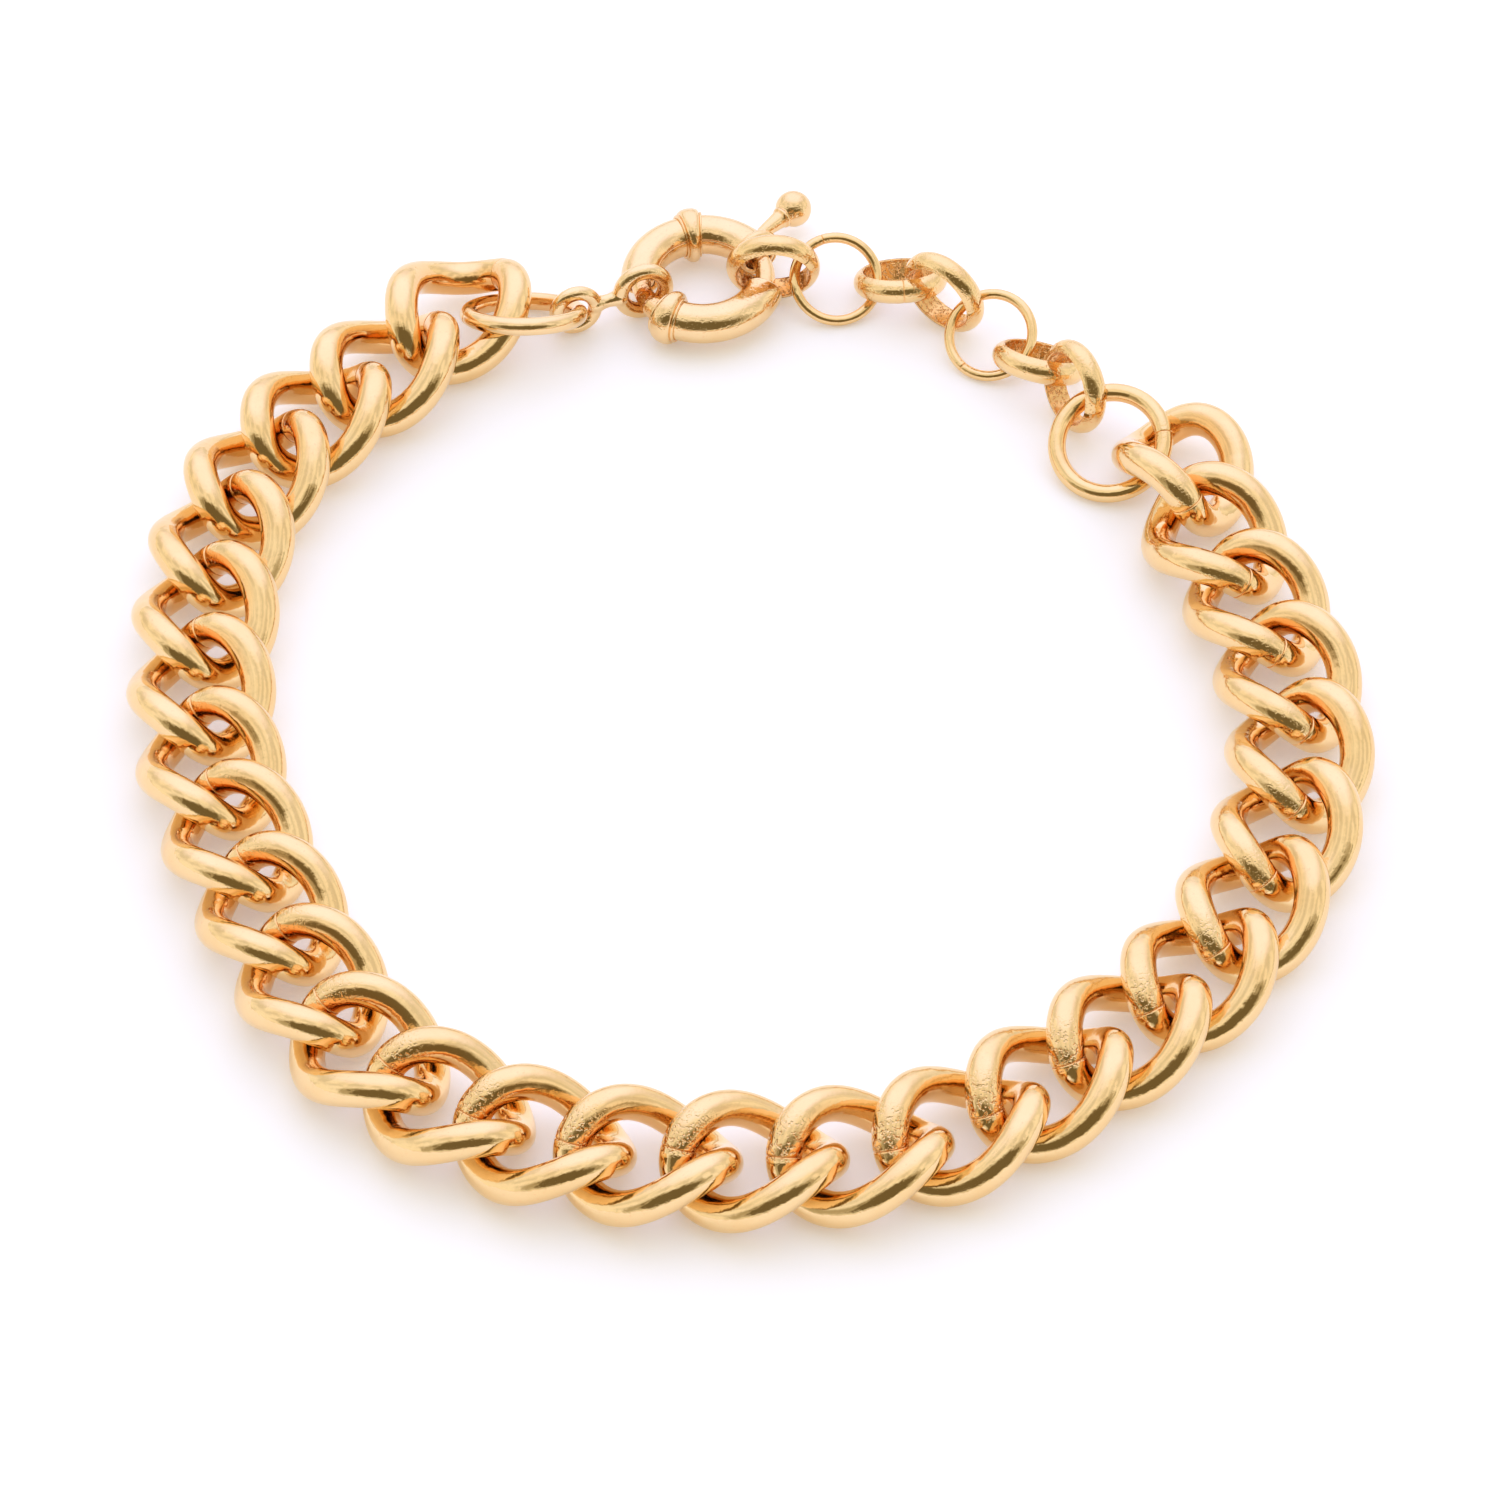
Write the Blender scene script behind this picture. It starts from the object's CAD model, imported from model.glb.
import math

import bpy
import numpy as np
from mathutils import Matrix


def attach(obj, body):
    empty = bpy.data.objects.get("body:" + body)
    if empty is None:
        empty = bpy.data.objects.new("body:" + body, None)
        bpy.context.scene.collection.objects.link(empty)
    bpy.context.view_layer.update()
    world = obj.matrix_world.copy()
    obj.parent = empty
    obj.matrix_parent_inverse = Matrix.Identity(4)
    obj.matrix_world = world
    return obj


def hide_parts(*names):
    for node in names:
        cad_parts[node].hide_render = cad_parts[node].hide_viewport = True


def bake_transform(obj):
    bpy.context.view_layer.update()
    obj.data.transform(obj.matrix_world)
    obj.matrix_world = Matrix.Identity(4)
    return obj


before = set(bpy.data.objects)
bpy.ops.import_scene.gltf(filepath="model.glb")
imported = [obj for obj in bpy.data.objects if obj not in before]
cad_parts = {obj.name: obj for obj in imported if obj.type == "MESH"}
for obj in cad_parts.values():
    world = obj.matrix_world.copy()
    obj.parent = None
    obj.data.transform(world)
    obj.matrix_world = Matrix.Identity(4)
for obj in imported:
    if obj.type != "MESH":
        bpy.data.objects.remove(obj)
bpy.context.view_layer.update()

MM = 0.001
MIDDLE = np.array([-0.3, 7.6, -0.05])  # the part is laid out round this point, in mm


# ---------------------------------------------------------------- layout, in mm, as in the part
def turned(rx, ry, rz):
    """The matrix of a turn about X, then Y, then Z, in degrees."""
    rx, ry, rz = (math.radians(v) for v in (rx, ry, rz))
    cx, sx = math.cos(rx), math.sin(rx)
    cy, sy = math.cos(ry), math.sin(ry)
    cz, sz = math.cos(rz), math.sin(rz)
    x = np.array([[1, 0, 0], [0, cx, -sx], [0, sx, cx]])
    y = np.array([[cy, 0, sy], [0, 1, 0], [-sy, 0, cy]])
    z = np.array([[cz, -sz, 0], [sz, cz, 0], [0, 0, 1]])
    return z @ y @ x


def laid(points, at, turn):
    """Points of a piece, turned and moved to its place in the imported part's frame."""
    return points @ turned(*turn).T + np.array(at) - MIDDLE


# How far the chain turns at each joint, in degrees, and each piece's place, then its roll, slope and
# heading. As in the part, these come from fits to the picture and are rounded; report.md says more.
PITCH, LINK_Z = 11.5, 4.75
TURNS = [1, 0, 16, 17, 7, 7, 9, 9, 1, 5, 15, 16, 14, 11, 7, 8, 18, 11, 2, 11, 11, 11, 13, 15, 8, 6, -16]
headings, centres = [-134.0], [np.array([-35.7, 65.0])]
for turn in TURNS:
    mid = math.radians(headings[-1] + turn / 2)
    headings.append(headings[-1] + turn)
    centres.append(centres[-1] + PITCH * np.array([math.cos(mid), math.sin(mid)]))
LINK_LAYS = [((c[0], c[1], LINK_Z), (0, 0, h)) for c, h in zip(centres, headings)]
LINK_LAYS[0] = ((-35.5, 65.35, 5.1), (-11.3, -2.2, -129.7))
LINK_LAYS[-1] = ((51.2, 40.1, 4.7), (14.8, 10.4, 93.4))
CLASP_LAY = ((-5.7, 72.4, 3.4), (0, 0, 0))
CONNECTOR_LAY = ((-17, 68.6, 3.55), (-7.4, -2.9, 19.1))
JUMP_RING_LAY = ((-27.3, 65.3, 4.6), (-32.2, 0, -0.4))
ROLO_LAYS = [
    ((2.8, 72.2, 5.65), (-79.5, 0, -0.5)),
    ((18.25, 71.9, 3.55), (-28.5, 0, 7)),
    ((23.45, 67.9, 5.7), (-85.4, 0, -38.8)),
    ((34.65, 57.85, 3.9), (-34.2, 0, -22.2)),
    ((38.7, 52.2, 5.65), (80.6, 0, -61.5)),
]
RING_LAYS = [
    ((10.45, 72.15, 3.6), (35.3, 0, 11.2)),
    ((29, 62.95, 3.35), (31.7, 0, -25.9)),
    ((42.75, 44.75, 3.75), (24.6, 0, -25.5)),
]


# ---------------------------------------------------------------- materials
class Nodes:
    """A short way to write a node tree."""

    def __init__(self, name):
        self.mat = bpy.data.materials.new(name)
        self.mat.use_nodes = True
        self.tree = self.mat.node_tree
        self.shader = self.tree.nodes["Principled BSDF"]
        self.where = self.add("ShaderNodeTexCoord").outputs["Object"]

    def add(self, kind, **settings):
        node = self.tree.nodes.new(kind)
        for key, value in settings.items():
            setattr(node, key, value)
        return node

    def put(self, node, key, value):
        if hasattr(value, "is_linked"):
            self.tree.links.new(value, node.inputs[key])
        else:
            node.inputs[key].default_value = value

    def noise(self, scale, detail=3.0, rough=0.55, stretch=None):
        node = self.add("ShaderNodeTexNoise")
        where = self.where
        if stretch:
            mapping = self.add("ShaderNodeMapping")
            self.put(mapping, "Vector", where)
            mapping.inputs["Scale"].default_value = stretch
            where = mapping.outputs[0]
        self.put(node, "Vector", where)
        self.put(node, "Scale", scale)
        self.put(node, "Detail", detail)
        self.put(node, "Roughness", rough)
        return node.outputs["Fac"]

    def math(self, how, a, b):
        node = self.add("ShaderNodeMath", operation=how)
        self.put(node, 0, a)
        self.put(node, 1, b)
        return node.outputs[0]

    def spread(self, value, low, high, to_low=0.0, to_high=1.0):
        node = self.add("ShaderNodeMapRange")
        self.put(node, "Value", value)
        for key, v in (("From Min", low), ("From Max", high), ("To Min", to_low), ("To Max", to_high)):
            node.inputs[key].default_value = v
        return node.outputs[0]

    def mix(self, factor, a, b):
        node = self.add("ShaderNodeMix", data_type="RGBA")
        self.put(node, 0, factor)
        self.put(node, 6, a)
        self.put(node, 7, b)
        return node.outputs[2]

    def attribute(self, name):
        return self.add("ShaderNodeAttribute", attribute_name=name).outputs["Fac"]

    def bump(self, height, strength, distance, under=None):
        node = self.add("ShaderNodeBump")
        self.put(node, "Height", height)
        node.inputs["Strength"].default_value = strength
        node.inputs["Distance"].default_value = distance
        if under is not None:
            self.put(node, "Normal", under)
        return node.outputs[0]


def gold(name, light, warm, deep, polish, grain):
    """Polished gold plate: warmer and duller in the hollows, with fine dents and hairlines."""
    m = Nodes(name)
    hollow = m.attribute("hollow")
    peel = m.attribute("peel")
    patches = m.spread(m.noise(190, 4), 0.35, 0.68)
    specks = m.spread(m.noise(2600, 2, 0.6), 0.62, 0.74)
    colour = m.mix(patches, (*light, 1), (*warm, 1))
    colour = m.mix(m.math("MULTIPLY", hollow, 0.9), colour, (*deep, 1))
    colour = m.mix(m.math("MULTIPLY", specks, 0.16), colour, (*[v * 0.6 for v in deep], 1))
    m.put(m.shader, "Base Color", colour)
    m.shader.inputs["Metallic"].default_value = 1.0
    rough = m.spread(m.noise(420, 5), 0.3, 0.7, polish, polish + 0.07)
    rough = m.math("ADD", rough, m.math("MULTIPLY", hollow, 0.03))
    rough = m.math("ADD", rough, m.math("MULTIPLY", peel, 0.07))
    rough = m.math("ADD", rough, m.math("MULTIPLY", specks, 0.12))
    m.put(m.shader, "Roughness", rough)
    waves = m.bump(m.noise(330, 2), 0.26 * grain, 0.0004)
    hair = m.bump(m.noise(1500, 2, 0.5, (1.0, 0.25, 3.0)), 0.035, 0.0002, waves)
    pits = m.spread(m.noise(2300, 2, 0.5), 0.53, 0.66, 1.0, 0.0)
    pits = m.math("MULTIPLY", pits, m.math("ADD", peel, 0.02))
    m.put(m.shader, "Normal", m.bump(pits, 0.62 * grain, 0.00016, hair))
    return m.mat


GOLD_CHAIN = gold(
    "gold_chain_plate",
    light=(0.93, 0.665, 0.34), warm=(0.905, 0.62, 0.29), deep=(0.885, 0.475, 0.165), polish=0.055, grain=1.0,
)
GOLD_CLASP = gold(
    "gold_clasp_plate",
    light=(0.93, 0.675, 0.365), warm=(0.905, 0.635, 0.32), deep=(0.885, 0.485, 0.18), polish=0.05, grain=0.9,
)
GOLD_EXTENDER = gold(
    "gold_extender_plate",
    light=(0.92, 0.655, 0.32), warm=(0.89, 0.60, 0.275), deep=(0.92, 0.53, 0.20), polish=0.06, grain=1.1,
)


def spring_steel():
    m = Nodes("spring_steel")
    tone = m.mix(m.spread(m.noise(900, 3), 0.3, 0.7), (0.56, 0.55, 0.53, 1), (0.44, 0.43, 0.42, 1))
    m.put(m.shader, "Base Color", tone)
    m.shader.inputs["Metallic"].default_value = 1.0
    m.put(m.shader, "Roughness", m.spread(m.noise(1800, 3), 0.3, 0.7, 0.24, 0.38))
    m.put(m.shader, "Normal", m.bump(m.noise(5000, 2), 0.1, 0.0001))
    return m.mat


STEEL = spring_steel()


# ---------------------------------------------------------------- meshes
def unit(v):
    return v / np.linalg.norm(v, axis=-1, keepdims=True)


def piece(name, points, faces, body, nodes, material, hollow=None, peel=None):
    """A mesh that rides on a body, or on none, and stands for some of the part's nodes.

    hollow and peel are values from 0 to 1 at its points, which its material reads.
    """
    mesh = bpy.data.meshes.new(name)
    mesh.from_pydata((points * MM).tolist(), [], faces)
    mesh.materials.append(material)
    for key, values in (("hollow", hollow), ("peel", peel)):
        layer = mesh.attributes.new(key, "FLOAT", "POINT")
        values = np.zeros(len(points)) if values is None else np.asarray(values, float).ravel()
        layer.data.foreach_set("value", values)
    mesh.polygons.foreach_set("use_smooth", [True] * len(mesh.polygons))
    mesh.update()
    obj = bpy.data.objects.new(name, mesh)
    bpy.context.scene.collection.objects.link(obj)
    if body:
        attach(obj, body)
    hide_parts(*nodes)
    return obj


def grid_faces(n, m, loop=True):
    """Quads of n rings with m points each; loop joins the last ring to the first."""
    faces = []
    for i in range(n if loop else n - 1):
        row, next_row = i * m, (i + 1) % n * m
        for k in range(m):
            k2 = (k + 1) % m
            faces.append((row + k, next_row + k, next_row + k2, row + k2))
    return faces


def ease(x, low, high):
    """0 below low, 1 above high, smooth between."""
    s = np.clip((np.asarray(x, float) - low) / (high - low), 0, 1)
    return s * s * (3 - 2 * s)


# Curb link: an oval bent up and down along its length, so that it lies flat in the chain
HALF_L, HALF_W, TWIST, WIRE_R = 8.35, 6.6, 45.0, 2.04
MEAN_BEND_R = 7.1  # makes an angle round the link a distance along its wire
MOST_PITTED, PITTED_SPREAD = 17, 4.5  # the link that is pitted most, and how fast the pits fade beside it


def wire_at(t):
    """The middle of a curb link's wire at angles round the oval, and the link's twist there."""
    x, y = HALF_L * np.cos(t), HALF_W * np.sin(t)
    w = np.radians(TWIST) * x / HALF_L
    return np.stack([x, y * np.cos(w), -y * np.sin(w)], -1), w


def curb_link(number, at, turn):
    """Wire with a soldered seam near one end and an orange-peel patch next to it."""
    rng = np.random.default_rng(100 + number)
    seam = math.radians(170 + rng.uniform(-4, 4))
    sides = 36
    near = np.array([-0.6, -0.36, -0.2, -0.11, -0.06, -0.03, 0, 0.03, 0.06, 0.11, 0.2, 0.36, 0.6])
    near = near / MEAN_BEND_R
    t = np.linspace(0, 2 * math.pi, 150, endpoint=False)
    t = t[np.abs(t - seam) > 0.1]
    t = np.sort(np.concatenate([t, seam + near]))
    p, w = wire_at(t)
    along = unit(wire_at(t + 1e-4)[0] - wire_at(t - 1e-4)[0])
    side = unit(np.cross(along, np.stack([0 * w, np.sin(w), np.cos(w)], -1)))
    up = np.cross(side, along)
    a = np.linspace(0, 2 * math.pi, sides, endpoint=False)
    s = (t - seam) * MEAN_BEND_R  # distance from the solder seam along the wire
    r = np.full(len(t), WIRE_R)
    r -= 0.10 * np.exp(-((s / 0.055) ** 2))
    r -= 0.018 * np.exp(-((s / 0.5) ** 2))
    # drawn wire isn't quite even in thickness
    long_waves = 0.022 * (0.5 + 0.5 * np.sin(2 * t + rng.uniform(0, 6)))
    short_waves = 0.012 * (0.5 + 0.5 * np.sin(5 * t + rng.uniform(0, 6)))
    r -= long_waves + short_waves
    out = np.cos(a)[None, :, None] * up[:, None, :] + np.sin(a)[None, :, None] * side[:, None, :]
    points = p[:, None, :] + r[:, None, None] * out
    inward = np.einsum("nmk,nk->nm", out, unit(-p * np.array([1, 1, 0.3])))
    ends = np.abs(np.cos(t))[:, None]
    hollow = ease(inward, 0.25, 0.95) * (0.6 + 0.4 * ends)
    hollow = hollow + 0.7 * np.exp(-((s[:, None] / 0.12) ** 2))
    above = ease(out[:, :, 2], -0.1, 0.6)
    near_seam = ease(s, -5.4, -1.4) * (1 - ease(s, 0.1, 0.8))
    rough_cast = 0.12 + 0.88 * math.exp(-(((number - MOST_PITTED) / PITTED_SPREAD) ** 2))
    peel = near_seam[:, None] * (0.15 + 0.85 * above) * rough_cast
    points = laid(points.reshape(-1, 3), at, turn)
    name = f"curb_link_{number:02d}"
    piece(name + "_wire", points, grid_faces(len(t), sides), name, [name], GOLD_CHAIN,
          np.clip(hollow, 0, 1), peel)


for i, (at, turn) in enumerate(LINK_LAYS):
    curb_link(i + 1, at, turn)


def wire_ring(name, outer_d, wire_d, at, turn, cut, material, slot):
    """Round wire closed to a ring, with the fine line of its cut."""
    major, r = (outer_d - wire_d) / 2, wire_d / 2 - 0.01
    sides = 32
    near = np.array([-0.3, -0.16, -0.08, -0.045, -0.02, 0, 0.02, 0.045, 0.08, 0.16, 0.3]) / major
    t = np.linspace(0, 2 * math.pi, 130, endpoint=False)
    cut = math.radians(cut)
    t = np.sort(np.concatenate([t[np.abs(t - cut) > 0.35 / major], cut + near]))
    a = np.linspace(0, 2 * math.pi, sides, endpoint=False)
    s = (t - cut) * major
    radius = r - 0.09 * np.exp(-((s / 0.04) ** 2)) - 0.012 * np.exp(-((s / 0.6) ** 2))
    radius = radius[:, None] - 0.008 * (0.5 + 0.5 * np.sin(3 * t + 1.7))[:, None]
    x = major + radius * np.cos(a)
    across, along = x * np.cos(t)[:, None], x * np.sin(t)[:, None]
    points = np.stack([across, along, radius * np.sin(a)], -1)
    hollow = ease(-np.cos(a), 0.2, 1)[None, :] * 0.75 + 0.7 * np.exp(-((s[:, None] / 0.09) ** 2))
    peel = 0.18 * np.exp(-((s[:, None] / 1.1) ** 2)) + 0 * a[None, :]
    points = laid(points.reshape(-1, 3), at, turn)
    piece(name + "_wire", points, grid_faces(len(t), sides), name, [name], material,
          np.clip(hollow, 0, 1), peel)


wire_ring("clasp_jump_ring", 15.5, 2.2, *JUMP_RING_LAY, 200, GOLD_CLASP, "gold_clasp")
RING_SIZES = [(11.5, 1.3), (11.5, 1.3), (15.0, 2.2)]
RING_CUTS = [100, 250, 30]
for i, ((at, turn), (outer_d, wire_d), cut) in enumerate(zip(RING_LAYS, RING_SIZES, RING_CUTS)):
    wire_ring(f"extender_ring_{i + 1}", outer_d, wire_d, at, turn, cut, GOLD_EXTENDER, "gold_extender")


def rounded(corners, radii, steps=6):
    """A closed outline with each corner turned into a small arc."""
    out = []
    n = len(corners)
    for i in range(n):
        c = np.array(corners[i], float)
        a, b = np.array(corners[i - 1], float) - c, np.array(corners[(i + 1) % n], float) - c
        r = radii[i]
        if r == 0:
            out.append(c)
            continue
        a, b = c + a / np.linalg.norm(a) * r, c + b / np.linalg.norm(b) * r
        for k in range(steps + 1):
            s = k / steps
            out.append((1 - s) ** 2 * a + 2 * s * (1 - s) * c + s * s * b)
    return np.array(out)


def rolo_section():
    """Half-round section: crown outward, flat inward, edges eased."""
    high = 1.5
    crown = []
    for k in range(-9, 10):
        v = math.radians(k * 9.2)
        crown.append((4.2 + 1.53 * math.cos(v), 1.53 * math.sin(v)))
    crown = [c for c in crown if c[0] > 4.62]
    top = rounded([(4.62, high - 0.03), (4.43, high - 0.14), (4.41, 0.4)], [0.0, 0.12, 0.0])
    flat = [(4.415 + 0.02 * math.cos(v), 1.1 * math.sin(v)) for v in np.linspace(1.2, -1.2, 7)]
    under = [(x, -y) for x, y in top[:-1][::-1]]
    return np.array(crown + [tuple(v) for v in top[:-1]] + flat + under)


ROLO = rolo_section()
ROLO_MEAN_R = 5  # makes an angle round the link a distance along its band


def rolo_link(number, at, turn):
    """Half-round band closed to a ring, with a soldered seam and a dull inner face."""
    rng = np.random.default_rng(40 + number)
    seam = math.radians(rng.uniform(20, 340))
    near = np.array([-0.35, -0.2, -0.1, -0.05, -0.02, 0, 0.02, 0.05, 0.1, 0.2, 0.35]) / ROLO_MEAN_R
    t = np.linspace(0, 2 * math.pi, 132, endpoint=False)
    t = np.sort(np.concatenate([t[np.abs(t - seam) > 0.08], seam + near]))
    s = (t - seam) * ROLO_MEAN_R
    middle = np.array([ROLO_MEAN_R, 0.0])
    groove = 1 - 0.07 * np.exp(-((s / 0.05) ** 2)) - 0.012 * (0.5 + 0.5 * np.sin(4 * t + 2))
    section = middle + (ROLO - middle)[None, :, :] * groove[:, None, None]
    out, up = section[:, :, 0], section[:, :, 1]
    points = np.stack([out * np.cos(t)[:, None], out * np.sin(t)[:, None], up], -1)
    inner = ease(-(ROLO[:, 0] - 4.75), 0, 0.3)[None, :]
    hollow = np.clip(inner * 0.95 + 0.8 * np.exp(-((s[:, None] / 0.1) ** 2)), 0, 1)
    peel = inner * 0.9 + 0.15 + 0 * t[:, None]
    name = f"rolo_link_{number}"
    points = laid(points.reshape(-1, 3), at, turn)
    piece(name + "_band", points, grid_faces(len(t), len(ROLO)), name, [name], GOLD_EXTENDER,
          hollow, peel)


for i, (at, turn) in enumerate(ROLO_LAYS):
    rolo_link(i + 1, at, turn)

# Clasp: angles are measured round its ring, from the side where the extender hooks on
CLASP_R, TUBE_R, BORE_R = 7.6, 2.4, 1.8
MOUTH_START, MOUTH_END, NECK_START, NECK_END = -17.0, 28.0, 183.0, 229.0
STEP = math.degrees(1 / CLASP_R)  # the angle of one millimetre along the ring
TRIGGER_SLOT = (42.5, 88.5)
TRIGGER_AT = 47.5
SPRING_START, SPRING_END = 68, NECK_START - 8
EYE_X = 4.3  # how far the connector's collar and eyelet are from its middle


def round_clasp(angle, out, up):
    """Points at an angle round the clasp ring, out and up from the middle of the wire."""
    angle = np.radians(angle)
    x = CLASP_R + out
    return np.stack([x * np.cos(angle), x * np.sin(angle), up + 0 * angle], -1)


def clasp_piece(name, kind, points, faces, hollow, peel, body="clasp"):
    """A gold piece of the clasp, laid in place; hollow and peel are numbers or arrays of them."""
    hollow = np.clip(hollow + np.zeros(len(points)), 0, 1)
    peel = peel + np.zeros(len(points))
    points = laid(points, *CLASP_LAY)
    piece(f"{name}_{kind}", points, faces, body, [name], GOLD_CLASP, hollow, peel)


def clasp_tube(name, start, end, slot=None):
    """Bent tube with open, eased ends, the rolled seam along its inside and a slot for the trigger."""
    edge = 0.13
    stops = [(start, TUBE_R - edge), (start + 0.3 * edge * STEP, TUBE_R - 0.3 * edge),
             (start + edge * STEP, TUBE_R)]
    inner = list(np.linspace(start + 1.6, end - 1.6, int((end - start) / 2)))
    if slot:
        inner = [v for v in inner if min(abs(v - slot[0]), abs(v - slot[1])) > 0.8] + list(slot)
    stops += [(v, TUBE_R) for v in sorted(inner)]
    stops += [(end - edge * STEP, TUBE_R), (end - 0.3 * edge * STEP, TUBE_R - 0.3 * edge),
              (end, TUBE_R - edge)]
    at = np.array([v for v, _ in stops])
    outer = np.array([v for _, v in stops])
    half = math.degrees(math.asin(0.85 / TUBE_R))
    seam = 152.0
    b = list(np.arange(half, 360 - half + 1e-6, (360 - 2 * half) / 44))
    b = [v for v in b if abs(v - seam) > 4] + [seam + v for v in (-3.4, -2, -1.1, -0.5, 0, 0.5, 1.1, 2, 3.4)]
    b = np.array(sorted(b))
    gap_sides = np.linspace(-half, half, 7)[1:-1]
    b = np.concatenate([b, 360 + gap_sides])
    groove = 0.11 * np.exp(-(((b - seam) / 0.9) ** 2))
    groove = groove + 0.03 * ease(b, seam - 3, seam) * (1 - ease(b, seam, seam + 3))
    ar, br = at[:, None], np.radians(b)[None, :]
    r_out = outer[:, None] - groove[None, :]
    shell_out = round_clasp(ar, r_out * np.cos(br), r_out * np.sin(br))
    shell_in = round_clasp(ar, BORE_R * np.cos(br) + 0 * ar, BORE_R * np.sin(br) + 0 * ar)
    n, m = len(at), len(b)
    points = np.concatenate([shell_out.reshape(-1, 3), shell_in.reshape(-1, 3)])
    gap_start = m - len(gap_sides) - 1  # the first of the quads round the tube that the slot leaves out

    def open_at(i, k):
        if slot is None or k < gap_start:
            return False
        return slot[0] - 1e-6 <= at[i] and at[i + 1] <= slot[1] + 1e-6

    faces, inside = [], n * m
    for i in range(n - 1):
        for k in range(m):
            if open_at(i, k):
                continue
            k2 = (k + 1) % m
            q = (i * m + k, (i + 1) * m + k, (i + 1) * m + k2, i * m + k2)
            faces += [q, tuple(inside + v for v in q[::-1])]
    for k in range(m):
        k2 = (k + 1) % m
        faces += [(k, k2, inside + k2, inside + k)]
        e = (n - 1) * m
        faces += [(e + k2, e + k, inside + e + k, inside + e + k2)]
    if slot:
        rows = [i for i in range(n - 1) if open_at(i, m - 1)]
        for i in rows:
            for k, flip in ((gap_start, False), (0, True)):
                q = (i * m + k, (i + 1) * m + k, inside + (i + 1) * m + k, inside + i * m + k)
                faces.append(q[::-1] if flip else q)
        for i, flip in ((rows[0], True), (rows[-1] + 1, False)):
            for k in range(gap_start, m):
                k2 = (k + 1) % m
                q = (i * m + k, i * m + k2, inside + i * m + k2, inside + i * m + k)
                faces.append(q[::-1] if flip else q)
    round_tube = 0.9 * np.exp(-(((b - seam) / 1.4) ** 2)) + 0.35 * ease(-np.cos(np.radians(b)), 0.3, 1)
    hollow = np.concatenate([np.tile(round_tube, n), np.full(n * m, 0.9)])
    peel = np.concatenate([np.full(n * m, 0.1), np.full(n * m, 0.6)])
    clasp_piece(name, "shell", points, faces, hollow, peel)


clasp_tube("clasp_upper_tube", MOUTH_END, NECK_START, TRIGGER_SLOT)
clasp_tube("clasp_lower_tube", NECK_END, 360 + MOUTH_START)


def bar_along(angles, radii, sides=28):
    """A round bar bent along the clasp ring, closed at its ends."""
    a = np.linspace(0, 2 * math.pi, sides, endpoint=False)[None, :]
    r = np.array(radii)[:, None]
    grid = round_clasp(np.array(angles)[:, None], r * np.cos(a), r * np.sin(a)).reshape(-1, 3)
    n = len(angles)
    points = np.concatenate([grid, round_clasp(np.array([angles[0], angles[-1]]), np.zeros(2), np.zeros(2))])
    faces = grid_faces(n, sides, loop=False)
    for k in range(sides):
        faces.append((k, (k + 1) % sides, len(grid)))
        e = (n - 1) * sides
        faces.append((e + (k + 1) % sides, e + k, len(grid) + 1))
    return points, faces


def clasp_neck():
    """Thin bar that carries the collar, with a shoulder at the lower arm and plugs inside both tubes."""
    stops = [(NECK_START - 5.6, 1.1), (NECK_START - 5.2, 1.5), (NECK_START - 4.4, 1.72),
             (NECK_START - 3, 1.77), (NECK_START - 1, 1.77), (NECK_START + 1, 1.6),
             (NECK_START + 3, 1.3), (NECK_START + 5, 1.18), (NECK_END - 17, 1.18),
             (NECK_END - 14.5, 1.27), (NECK_END - 12.5, 1.42), (NECK_END - 10, 1.47),
             (NECK_END - 3, 1.48), (NECK_END - 1, 1.6), (NECK_END + 0.5, 1.77), (NECK_END + 3, 1.77),
             (NECK_END + 4.4, 1.72), (NECK_END + 5.2, 1.5), (NECK_END + 5.6, 1.1)]
    between = [np.linspace(a[0], b[0], 5)[:-1] for a, b in zip(stops, stops[1:])]
    along = np.concatenate(between + [[stops[-1][0]]])
    points, faces = bar_along(along, np.interp(along, *np.array(stops).T))
    clasp_piece("clasp_neck", "bar", points, faces, 0.45, 0.2)


clasp_neck()


def lathe(profile, sides):
    """Turns (along, radius) points about X; a radius of 0 closes the shape."""
    a = np.linspace(0, 2 * math.pi, sides, endpoint=False)
    points, rows = [], []
    for x, r in profile:
        if r == 0:
            rows.append([len(points)])
            points.append((x, 0, 0))
        else:
            rows.append(list(range(len(points), len(points) + sides)))
            points += [(x, r * math.cos(v), r * math.sin(v)) for v in a]
    return np.array(points), rows


def lathe_faces(rows):
    faces = []
    for p, q in zip(rows, rows[1:]):
        n = max(len(p), len(q))
        for k in range(n):
            k2 = (k + 1) % n
            if len(p) == 1:
                faces.append((p[0], q[k2], q[k]))
            elif len(q) == 1:
                faces.append((p[k], p[k2], q[0]))
            else:
                faces.append((p[k], p[k2], q[k2], q[k]))
    return faces


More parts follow.
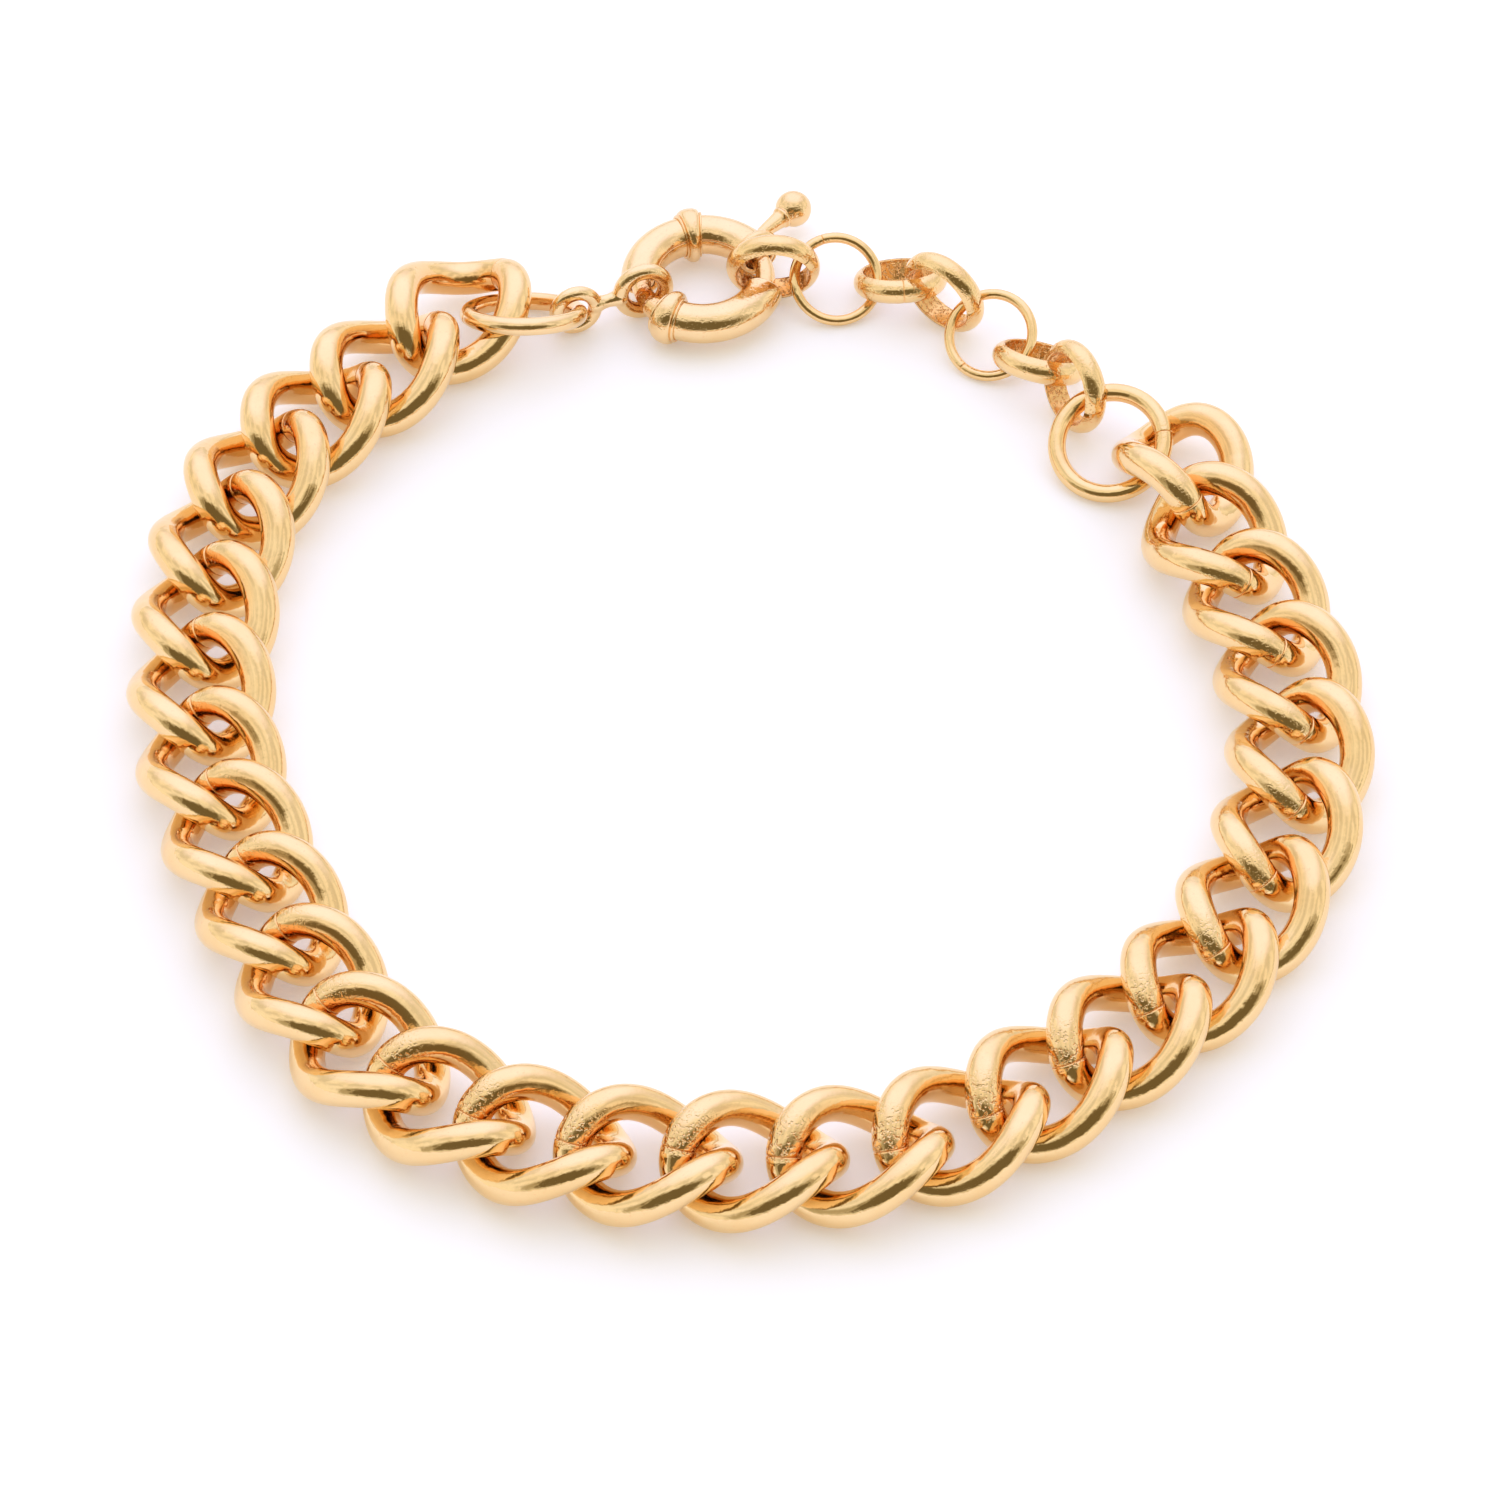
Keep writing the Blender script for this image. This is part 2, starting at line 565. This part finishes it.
def clasp_bead(name, at, wide):
    """Turned bead round the tube, bent with it, with a fine lip at each side."""
    inner, lip, crown, half = TUBE_R + 0.02, TUBE_R + 0.37, 3.33, wide / 2 - 0.01
    body = half - 0.33
    arc = [(body * math.sin(v), lip - 0.06 + (crown - lip + 0.06) * math.cos(v) ** 0.72)
           for v in np.linspace(-math.pi / 2 * 0.99, math.pi / 2 * 0.99, 23)]
    side = [(-half, inner), (-half, lip - 0.13), (-half + 0.03, lip - 0.04), (-half + 0.1, lip),
            (-half + 0.2, lip), (-half + 0.27, lip - 0.04), (-half + 0.31, lip - 0.12)]
    bore = [(x, inner) for x in np.linspace(half, -half, 6)[1:-1]]
    profile = side + arc + [(-x, r) for x, r in side[::-1]] + bore
    x, r = np.array(profile).T[:, :, None]
    sides = 72
    a = np.linspace(0, 2 * math.pi, sides, endpoint=False)[None, :]
    points = round_clasp(at + np.degrees(x / CLASP_R) + 0 * a, r * np.cos(a), r * np.sin(a)).reshape(-1, 3)
    dip = ((np.abs(np.abs(x) - body) < 0.06) & (r < lip + 0.1)) | (r < inner + 0.01)
    hollow = np.repeat(np.where(dip, 0.8, 0.08), sides)
    clasp_piece(name, "band", points, grid_faces(len(profile), sides), hollow, 0.15)


clasp_bead("clasp_bead_top", 101.5, 2.7)
clasp_bead("clasp_bead_mouth", 35, 1.8)
clasp_bead("clasp_bead_lower", 239.6, 2.6)


def clasp_bolt():
    """Bent bar with a rounded tip and an eased tail, from inside the lower tube to the spring."""
    tip_at, tail_at, bar_r, tail_ease = -23, 66, 1.18, 0.3
    tip = [(tip_at + (1.15 - 1.15 * math.cos(v)) * STEP, bar_r * math.sin(v))
           for v in np.linspace(0.12, math.pi / 2, 8)]
    tail = [(tail_at - (tail_ease - tail_ease * math.cos(v)) * STEP, 0.9 + 0.28 * math.sin(v))
            for v in np.linspace(math.pi / 2, 0, 6)]
    middle = [(v, bar_r) for v in np.linspace(tip[-1][0] + 2, tail[0][0] - 2, 40)]
    stops = tip + middle + tail
    points, faces = bar_along([v for v, _ in stops], [r for _, r in stops])
    clasp_piece("clasp_bolt", "bar", points, faces, 0.25, 0.15, body="clasp_bolt")


clasp_bolt()


def clasp_trigger():
    """Stalk that flares to a collar under the round thumb ball, turned in one piece."""
    ball, middle, ledge = 2.23, 16.3, 1.24
    profile = [(CLASP_R + 1.22, 0), (CLASP_R + 1.22, 0.6), (9.3, 0.63), (10.2, 0.64), (10.7, 0.74),
               (11.4, 0.84), (12.2, 0.92), (13.0, 1.02), (13.6, 1.12), (13.9, 1.2)]
    profile += [(13.98, 1.28), (14.1, 1.35), (14.26, 1.36), (14.38, 1.3), (14.44, ledge)]
    start = math.asin(ledge / ball)
    for v in np.linspace(math.pi - start, 0, 26)[1:-1]:
        profile.append((middle + ball * math.cos(v), ball * math.sin(v)))
    profile.append((middle + ball, 0))
    points, rows = lathe(profile, 48)
    points = points @ turned(0, 0, TRIGGER_AT).T
    hollow = np.zeros(len(points))
    for (x, r), row in zip(profile, rows):
        hollow[row] = 0.6 if 13.7 < x < 14.5 and r < 1.3 else 0.1
    clasp_piece("clasp_trigger", "stalk", points, lathe_faces(rows), hollow, 0.12, body="clasp_bolt")


clasp_trigger()


def clasp_spring():
    """Coil between the bolt and the neck's plug, blended between them so that it is pressed together."""
    turns, r, wire = 12, 1.35, 0.165
    s = np.linspace(0, 1, turns * 30 + 1)
    sides = 10

    def at(s):
        v = np.radians(360 * turns * s)
        return round_clasp(SPRING_START + (SPRING_END - SPRING_START) * s, r * np.cos(v), r * np.sin(v))

    p = at(s)
    along = unit(at(s + 5e-4) - at(s - 5e-4))
    turn = np.radians(SPRING_START + (SPRING_END - SPRING_START) * s)
    side = unit(np.cross(along, np.stack([-np.sin(turn), np.cos(turn), 0 * s], -1)))
    up = np.cross(side, along)
    a = np.linspace(0, 2 * math.pi, sides, endpoint=False)
    out = np.cos(a)[None, :, None] * up[:, None] + np.sin(a)[None, :, None] * side[:, None]
    points = laid((p[:, None] + wire * out).reshape(-1, 3), *CLASP_LAY)
    last = (len(s) - 1) * sides
    faces = grid_faces(len(s), sides, loop=False)
    faces += [tuple(range(sides)), tuple(last + k for k in reversed(range(sides)))]
    coil = piece("clasp_spring_coil", points, faces, None, ["clasp_spring"], STEEL)
    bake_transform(coil)


clasp_spring()


def torus(major, r, at, sides=40, around=96):
    """A ring of wire in the XZ plane, with its middle at X = at."""
    t = np.linspace(0, 2 * math.pi, around, endpoint=False)[:, None]
    a = np.linspace(0, 2 * math.pi, sides, endpoint=False)[None, :]
    x = major + r * np.cos(a)
    points = np.stack([x * np.cos(t) + at, -r * np.sin(a) + 0 * t, x * np.sin(t)], -1).reshape(-1, 3)
    return points, grid_faces(around, sides)


def clasp_connector():
    """Two loops of cast wire run together: the collar round the neck and the eyelet for the jump ring."""
    parts = [torus(2.85, 0.985, EYE_X), torus(2.45, 0.885, -EYE_X)]
    post = [(-2.6, 0), (-2.6, 0.85), (-1.75, 1.1), (-1.2, 1.0), (-0.7, 0.86), (-0.2, 0.82), (0.3, 0.88),
            (0.8, 1.02), (1.3, 1.15), (1.9, 0.95), (1.9, 0)]
    points, rows = lathe(post, 40)
    parts.append((points, lathe_faces(rows)))
    verts, faces = [], []
    for points, quads in parts:
        start = sum(len(v) for v in verts)
        verts.append(points)
        faces += [tuple(start + v for v in q) for q in quads]
    points = laid(np.concatenate(verts), *CONNECTOR_LAY)
    name = "clasp_connector"
    obj = piece(name + "_casting", points, faces, name, [name], GOLD_CLASP)
    remesh = obj.modifiers.new("one skin", "REMESH")
    remesh.mode = "VOXEL"
    remesh.voxel_size = 0.11 * MM
    remesh.use_smooth_shade = True
    smooth = obj.modifiers.new("soft", "SMOOTH")
    smooth.factor, smooth.iterations = 0.5, 6
    graph = bpy.context.evaluated_depsgraph_get()
    fused = bpy.data.meshes.new_from_object(obj.evaluated_get(graph))
    obj.modifiers.clear()
    obj.data = fused
    where = np.empty(len(fused.vertices) * 3)
    fused.vertices.foreach_get("co", where)
    back = (where.reshape(-1, 3) / MM + MIDDLE - np.array(CONNECTOR_LAY[0])) @ turned(*CONNECTOR_LAY[1])
    collar = np.hypot(back[:, 0] - EYE_X, back[:, 2])
    eyelet = np.hypot(back[:, 0] + EYE_X, back[:, 2])
    inside = np.maximum(ease(-collar, -2.6, -1.95), ease(-eyelet, -2.25, -1.6))
    for key, values in (("hollow", inside * 0.8), ("peel", 0.1 + 0.3 * inside)):
        if key in fused.attributes:
            fused.attributes.remove(fused.attributes[key])
        fused.attributes.new(key, "FLOAT", "POINT").data.foreach_set("value", values)
    fused.polygons.foreach_set("use_smooth", [True] * len(fused.polygons))
    fused.update()


clasp_connector()


# ---------------------------------------------------------------- floor, light and camera
def floor():
    """White table that glows faintly, as a light table does."""
    mesh = bpy.data.meshes.new("floor")
    half = 3.0
    corners = [(-half, -half, 0), (half, -half, 0), (half, half, 0), (-half, half, 0)]
    mesh.from_pydata(corners, [], [(0, 1, 2, 3)])
    m = Nodes("white_table")
    m.put(m.shader, "Base Color", m.mix(m.noise(6, 2), (0.955, 0.955, 0.955, 1), (0.975, 0.975, 0.975, 1)))
    m.shader.inputs["Roughness"].default_value = 0.9
    m.shader.inputs["Specular IOR Level"].default_value = 0.0
    m.shader.inputs["Emission Color"].default_value = (1, 1, 1, 1)
    m.shader.inputs["Emission Strength"].default_value = 0.22
    mesh.materials.append(m.mat)
    obj = bpy.data.objects.new("floor", mesh)
    bpy.context.scene.collection.objects.link(obj)


floor()


def studio():
    """White all-round light, brighter above and behind, with a darker place where the camera stands."""
    world = bpy.data.worlds.new("studio")
    bpy.context.scene.world = world
    world.use_nodes = True
    tree = world.node_tree
    tree.nodes.clear()
    link = tree.links.new
    where = tree.nodes.new("ShaderNodeTexCoord").outputs["Generated"]

    def dot(v):
        node = tree.nodes.new("ShaderNodeVectorMath")
        node.operation = "DOT_PRODUCT"
        link(where, node.inputs[0])
        node.inputs[1].default_value = v
        return node.outputs["Value"]

    def math_node(how, a, b):
        node = tree.nodes.new("ShaderNodeMath")
        node.operation = how
        for k, v in enumerate((a, b)):
            if hasattr(v, "is_linked"):
                link(v, node.inputs[k])
            else:
                node.inputs[k].default_value = v
        return node.outputs[0]

    def ramp(value, low, high, to_low, to_high):
        node = tree.nodes.new("ShaderNodeMapRange")
        node.interpolation_type = "SMOOTHSTEP"
        link(value, node.inputs["Value"])
        for key, v in (("From Min", low), ("From Max", high), ("To Min", to_low), ("To Max", to_high)):
            node.inputs[key].default_value = v
        return node.outputs[0]

    def noise(scale, detail):
        node = tree.nodes.new("ShaderNodeTexNoise")
        link(where, node.inputs["Vector"])
        node.inputs["Scale"].default_value = scale
        node.inputs["Detail"].default_value = detail
        return node.outputs["Fac"]

    def mix(factor, a, b):
        node = tree.nodes.new("ShaderNodeMix")
        node.data_type = "RGBA"
        link(factor, node.inputs["Factor"])
        for key, v in ((6, a), (7, b)):
            if hasattr(v, "is_linked"):
                link(v, node.inputs[key])
            else:
                node.inputs[key].default_value = (*v, 1)
        return node.outputs[2]

    lift = math.radians(33)
    centre = (0, -math.cos(lift), math.sin(lift))
    upward = (0, math.sin(lift), math.cos(lift))
    ahead = math_node("MAXIMUM", dot(centre), 0.02)
    across = math_node("DIVIDE", dot((1, 0, 0)), ahead)
    along = math_node("DIVIDE", dot(upward), ahead)
    shift = math_node("MULTIPLY", math_node("SUBTRACT", noise(7.0, 3.0), 0.5), 1.1)

    def patch(wide, high, edge_in, edge_out, down=0.0):
        """1 inside an uneven oval round the camera's side, 0 outside it."""
        u = math_node("DIVIDE", across, wide)
        v = math_node("DIVIDE", math_node("ADD", along, down), high)
        squares = math_node("ADD", math_node("MULTIPLY", u, u), math_node("MULTIPLY", v, v))
        reach = math_node("SQRT", squares, 0)
        return ramp(math_node("ADD", reach, shift), edge_in, edge_out, 1.0, 0.0)

    soft = mix(ramp(noise(2.4, 1.0), 0.38, 0.62, 0.0, 1.0), (0.82, 0.80, 0.76), (1.08, 1.07, 1.03))
    light = mix(ramp(dot((0, 0.62, 0.785)), 0.55, 0.96, 0.0, 1.0), soft, (1.28, 1.29, 1.72))
    shade = mix(patch(2.3, 0.62, 0.6, 1.0), light, (0.50, 0.46, 0.34))
    shade = mix(patch(1.2, 0.52, 0.75, 0.92, 0.06), shade, (0.18, 0.145, 0.075))
    background = tree.nodes.new("ShaderNodeBackground")
    link(shade, background.inputs["Color"])
    background.inputs["Strength"].default_value = 1.0
    out = tree.nodes.new("ShaderNodeOutputWorld")
    link(background.outputs[0], out.inputs["Surface"])


studio()


def camera():
    """The photograph's view; its height, distance and lens come from a fit to the picture."""
    target = -MIDDLE * MM
    lift, distance = math.radians(49.45), 0.7546
    data = bpy.data.cameras.new("camera")
    data.angle = math.radians(13.003)
    data.clip_start, data.clip_end = 0.02, 20
    obj = bpy.data.objects.new("camera", data)
    obj.location = target + distance * np.array([0, -math.cos(lift), math.sin(lift)])
    obj.rotation_euler = (math.pi / 2 - lift, 0, 0)
    bpy.context.scene.collection.objects.link(obj)
    bpy.context.scene.camera = obj


camera()
bpy.context.scene.view_settings.view_transform = "Standard"
